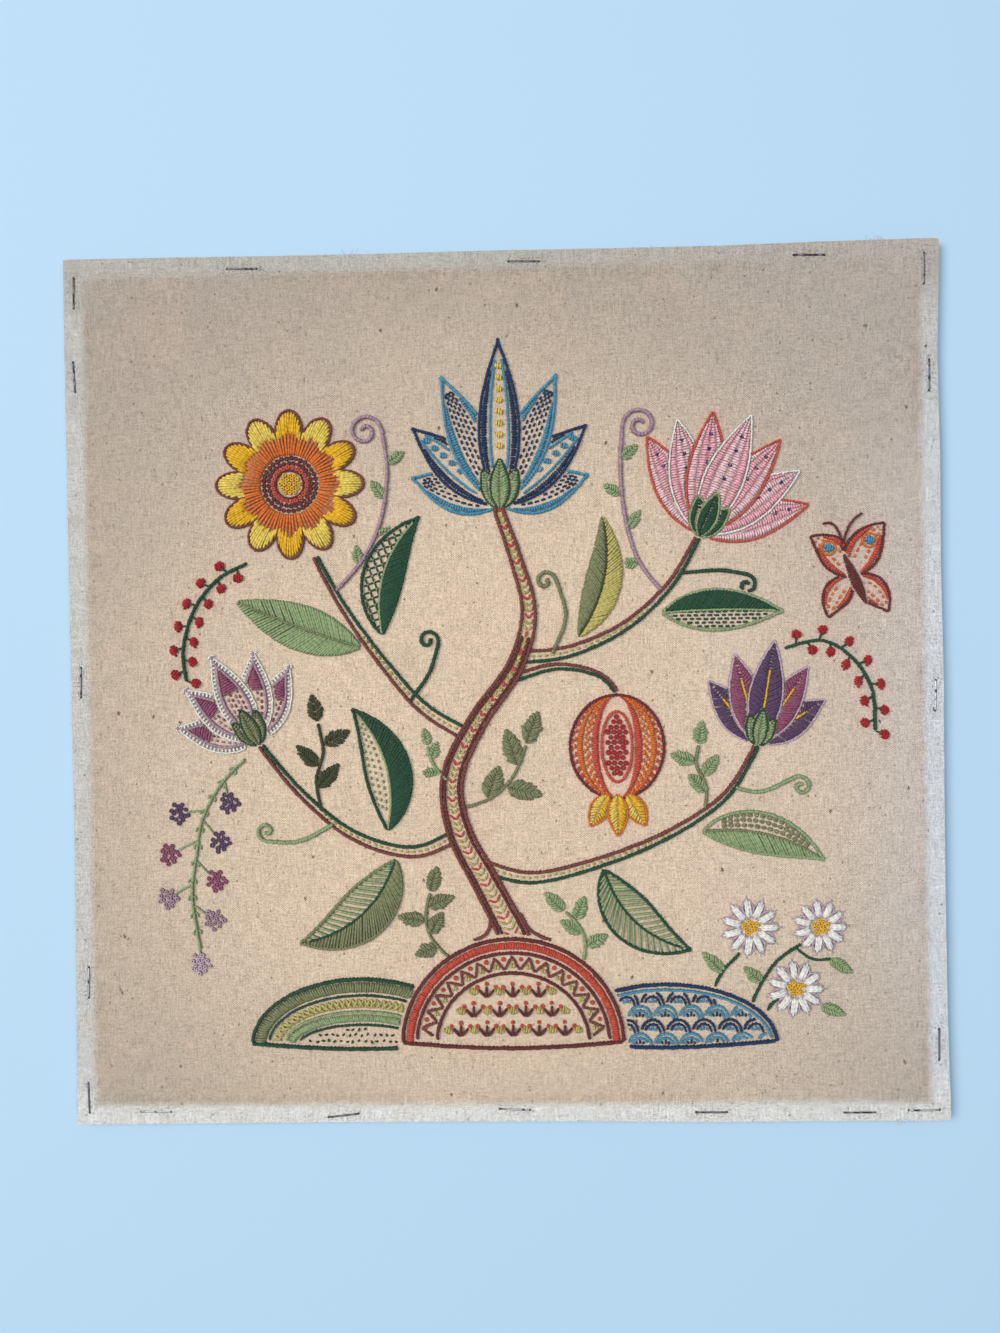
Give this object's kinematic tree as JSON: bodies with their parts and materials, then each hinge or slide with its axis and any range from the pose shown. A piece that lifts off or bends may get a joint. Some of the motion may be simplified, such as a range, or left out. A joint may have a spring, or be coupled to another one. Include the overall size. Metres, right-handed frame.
{
  "type": "crewel embroidery panel",
  "caption": "Flat square linen panel worked in coloured wool with a flowering tree, stapled flush to a thin pasteboard, with a plain border band.",
  "frame": {"origin": "under the middle of the panel, on the back face that rests on a surface", "axes": "+X to the right of the picture, +Y to the top of the picture, +Z out of the embroidered face"},
  "size_m": [0.357, 0.3568, 0.0054],
  "materials": {
    "linen": "plain-woven natural linen, unbleached and matt",
    "pasteboard": "grey-brown pasteboard, matt",
    "staple_wire": "dull zinc-coated steel wire with dark spots",
    "wool_burgundy": "two-ply crewel wool",
    "wool_bark": "two-ply crewel wool",
    "wool_coral": "two-ply crewel wool",
    "wool_orange": "two-ply crewel wool",
    "wool_gold": "two-ply crewel wool",
    "wool_pink": "two-ply crewel wool",
    "wool_mauve": "two-ply crewel wool",
    "wool_purple": "two-ply crewel wool",
    "wool_navy": "two-ply crewel wool",
    "wool_sky_blue": "two-ply crewel wool",
    "wool_dark_green": "two-ply crewel wool",
    "wool_sage": "two-ply crewel wool",
    "wool_light_green": "two-ply crewel wool",
    "wool_white": "two-ply crewel wool"
  },
  "bodies": {
    "root": {"board": "pasteboard", "linen": "linen", "staple_top_1": "staple_wire", "staple_top_2": "staple_wire", "staple_top_3": "staple_wire", "staple_right_1": "staple_wire", "staple_right_2": "staple_wire", "staple_right_3": "staple_wire", "staple_right_4": "staple_wire", "staple_bottom_1": "staple_wire", "staple_bottom_2": "staple_wire", "staple_bottom_3": "staple_wire", "staple_bottom_4": "staple_wire", "staple_bottom_5": "staple_wire", "staple_bottom_6": "staple_wire", "staple_left_1": "staple_wire", "staple_left_2": "staple_wire", "staple_left_3": "staple_wire", "staple_left_4": "staple_wire", "staple_left_5": "staple_wire", "hillock_left": "wool_sage", "hillock_middle": "wool_burgundy", "hillock_right": "wool_sky_blue", "tree": "wool_bark", "leaf_low_left": "wool_sage", "leaf_inner_left": "wool_dark_green", "leaf_mid_left": "wool_light_green", "leaf_high_left": "wool_dark_green", "leaf_high_right": "wool_sage", "leaf_mid_right": "wool_dark_green", "leaf_low_right": "wool_dark_green", "leaf_outer_right": "wool_light_green", "palmette_blue": "wool_navy", "carnation_pink": "wool_pink", "lotus_mauve": "wool_mauve", "iris_purple": "wool_purple", "sunflower_petals": "wool_gold", "sunflower_centre": "wool_burgundy", "pomegranate": "wool_orange", "daisy_1": "wool_white", "daisy_2": "wool_white", "daisy_3": "wool_white", "butterfly": "wool_coral"}
  },
  "joints": []
}
